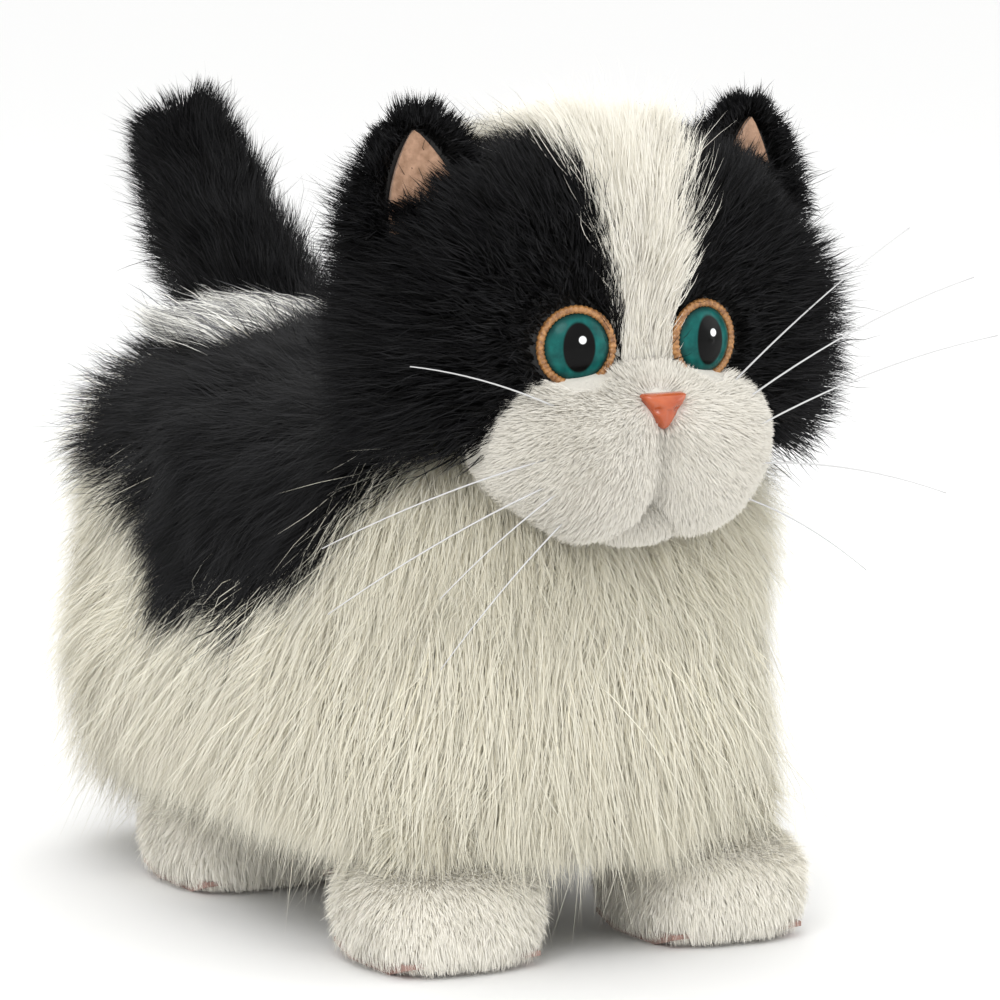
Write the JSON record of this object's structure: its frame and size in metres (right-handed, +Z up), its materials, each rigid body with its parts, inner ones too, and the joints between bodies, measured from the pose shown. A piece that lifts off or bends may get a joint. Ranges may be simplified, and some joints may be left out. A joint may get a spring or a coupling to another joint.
{
  "type": "interactive plush pet",
  "caption": "Free-standing walking plush kitten with motor-driven legs, turning head, opening jaw, wagging tail, touch button and battery box under a long fur coat.",
  "frame": {"origin": "on the floor, at the middle of the whole object's box", "axes": "+Z up, the kitten faces -Y, its left side is +X"},
  "size_m": [0.207, 0.2719, 0.2168],
  "materials": {
    "coat_white": "long faux fur",
    "coat_black": "long faux fur",
    "plush_white": "short plush",
    "ear_felt": "felt",
    "padding_foam": "soft",
    "nose_orange": "glossy",
    "eye_teal": "glossy",
    "eye_rim_gold": "satin",
    "whisker_nylon": "clear",
    "sole_rubber": "matt",
    "housing_dark": "moulded",
    "frame_grey": "moulded",
    "gear_nylon": "moulded",
    "lever_blue": "moulded",
    "steel": "ground",
    "brass": "turned",
    "board_green": "satin",
    "cell_foil": "glossy",
    "switch_red": "moulded"
  },
  "bodies": {
    "chassis": {"chassis_shell_left": "housing_dark", "chassis_shell_right": "housing_dark", "shell_screws": "steel", "battery_box": "housing_dark", "battery_cells": "cell_foil", "battery_contacts": "steel", "speaker": "housing_dark", "circuit_board": "board_green", "motor": "steel", "gearbox_plates": "frame_grey", "gear_axles": "steel", "body_padding": "padding_foam", "body_coat": "coat_white", "saddle_coat": "coat_black", "tail_bracket": "housing_dark"},
    "door": {"battery_door": "housing_dark", "door_screw": "steel"},
    "switch": {"power_switch": "switch_red"},
    "button": {"touch_button": "frame_grey"},
    "pinion": {"motor_pinion": "brass"},
    "first_gear_wheel": {"first_gear": "gear_nylon"},
    "second_gear_wheel": {"second_gear": "gear_nylon"},
    "crank": {"crank_gear": "gear_nylon", "crankshaft": "steel", "crank_discs": "gear_nylon"},
    "rod_left": {"link_rod_left": "gear_nylon"},
    "rod_right": {"link_rod_right": "gear_nylon"},
    "head": {"neck_post": "frame_grey", "head_shell_front": "frame_grey", "head_shell_rear": "frame_grey", "eyes": "eye_teal", "eye_rims": "eye_rim_gold", "nose": "nose_orange", "head_coat": "coat_black", "muzzle_coat": "plush_white", "ear_shells": "coat_black", "ear_linings": "ear_felt", "whiskers": "whisker_nylon", "jaw_pin": "steel", "jaw_spring": "steel"},
    "jaw": {"jaw_frame": "frame_grey", "chin_coat": "plush_white"},
    "tail": {"tail_core": "frame_grey", "tail_coat": "coat_black"},
    "leg_front_left": {"leg_frame_front_left": "frame_grey", "drive_lever_front_left": "lever_blue", "boot_front_left": "plush_white", "sole_front_left": "sole_rubber"},
    "leg_front_right": {"leg_frame_front_right": "frame_grey", "drive_lever_front_right": "lever_blue", "boot_front_right": "plush_white", "sole_front_right": "sole_rubber"},
    "leg_rear_left": {"leg_frame_rear_left": "frame_grey", "drive_lever_rear_left": "lever_blue", "boot_rear_left": "plush_white", "sole_rear_left": "sole_rubber"},
    "leg_rear_right": {"leg_frame_rear_right": "frame_grey", "drive_lever_rear_right": "lever_blue", "boot_rear_right": "plush_white", "sole_rear_right": "sole_rubber"}
  },
  "joints": [
    {"name": "leg_front_left_swing", "type": "hinge", "parent": "chassis", "child": "leg_front_left", "pos_m": [0.03, -0.087, 0.084], "axis": [1, 0, 0], "range_deg": [-12, 12]},
    {"name": "leg_front_right_swing", "type": "hinge", "parent": "chassis", "child": "leg_front_right", "pos_m": [-0.03, -0.087, 0.084], "axis": [1, 0, 0], "range_deg": [-12, 12]},
    {"name": "leg_rear_left_swing", "type": "hinge", "parent": "chassis", "child": "leg_rear_left", "pos_m": [0.03, 0.029, 0.084], "axis": [1, 0, 0], "range_deg": [-12, 12]},
    {"name": "leg_rear_right_swing", "type": "hinge", "parent": "chassis", "child": "leg_rear_right", "pos_m": [-0.03, 0.029, 0.084], "axis": [1, 0, 0], "range_deg": [-12, 12]},
    {"name": "rod_left_slide", "type": "slide", "parent": "chassis", "child": "rod_left", "axis": [0, 1, 0], "range_m": [-0.0022, 0.0022]},
    {"name": "rod_right_slide", "type": "slide", "parent": "chassis", "child": "rod_right", "axis": [0, 1, 0], "range_m": [-0.0022, 0.0022]},
    {"name": "crank_spin", "type": "hinge", "parent": "chassis", "child": "crank", "pos_m": [0, -0.029, 0.084], "axis": [1, 0, 0], "continuous": true},
    {"name": "second_gear_spin", "type": "hinge", "parent": "chassis", "child": "second_gear_wheel", "pos_m": [0, -0.0215, 0.09699], "axis": [1, 0, 0], "continuous": true},
    {"name": "first_gear_spin", "type": "hinge", "parent": "chassis", "child": "first_gear_wheel", "pos_m": [0, -0.00741, 0.10212], "axis": [1, 0, 0], "continuous": true},
    {"name": "pinion_spin", "type": "hinge", "parent": "chassis", "child": "pinion", "pos_m": [0, 0.00669, 0.10725], "axis": [1, 0, 0], "continuous": true},
    {"name": "head_turn", "type": "hinge", "parent": "chassis", "child": "head", "pos_m": [0, -0.084, 0.11], "axis": [0, 0, 1], "range_deg": [-20, 20]},
    {"name": "jaw_open", "type": "hinge", "parent": "head", "child": "jaw", "pos_m": [0, -0.098, 0.128], "axis": [1, 0, 0], "range_deg": [0, 12], "stiffness_Nm_per_rad": 0.01, "springref_deg": -17.19},
    {"name": "tail_wag", "type": "hinge", "parent": "chassis", "child": "tail", "pos_m": [0, 0.056, 0.114], "axis": [0, 0, 1], "range_deg": [-20, 20]},
    {"name": "battery_door_lift", "type": "slide", "parent": "chassis", "child": "door", "axis": [0, 0, -1], "range_m": [0, 0.006]},
    {"name": "power_switch_slide", "type": "slide", "parent": "chassis", "child": "switch", "axis": [0, 1, 0], "range_m": [0, 0.004]},
    {"name": "touch_press", "type": "slide", "parent": "chassis", "child": "button", "axis": [0, 0, -1], "range_m": [0, 0.0015], "stiffness_N_per_m": 300, "springref_m": -0.001}
  ],
  "couplings": [
    {"joint": "leg_front_right_swing", "follows": "leg_front_left_swing", "ratio": -1},
    {"joint": "leg_rear_left_swing", "follows": "leg_front_left_swing", "ratio": -1},
    {"joint": "leg_rear_right_swing", "follows": "leg_front_left_swing", "ratio": 1},
    {"joint": "rod_left_slide", "follows": "leg_front_left_swing", "m_per_rad": -0.01},
    {"joint": "rod_right_slide", "follows": "leg_front_left_swing", "m_per_rad": 0.01},
    {"joint": "second_gear_spin", "follows": "crank_spin", "ratio": -4},
    {"joint": "first_gear_spin", "follows": "crank_spin", "ratio": 16},
    {"joint": "pinion_spin", "follows": "crank_spin", "ratio": -64}
  ]
}
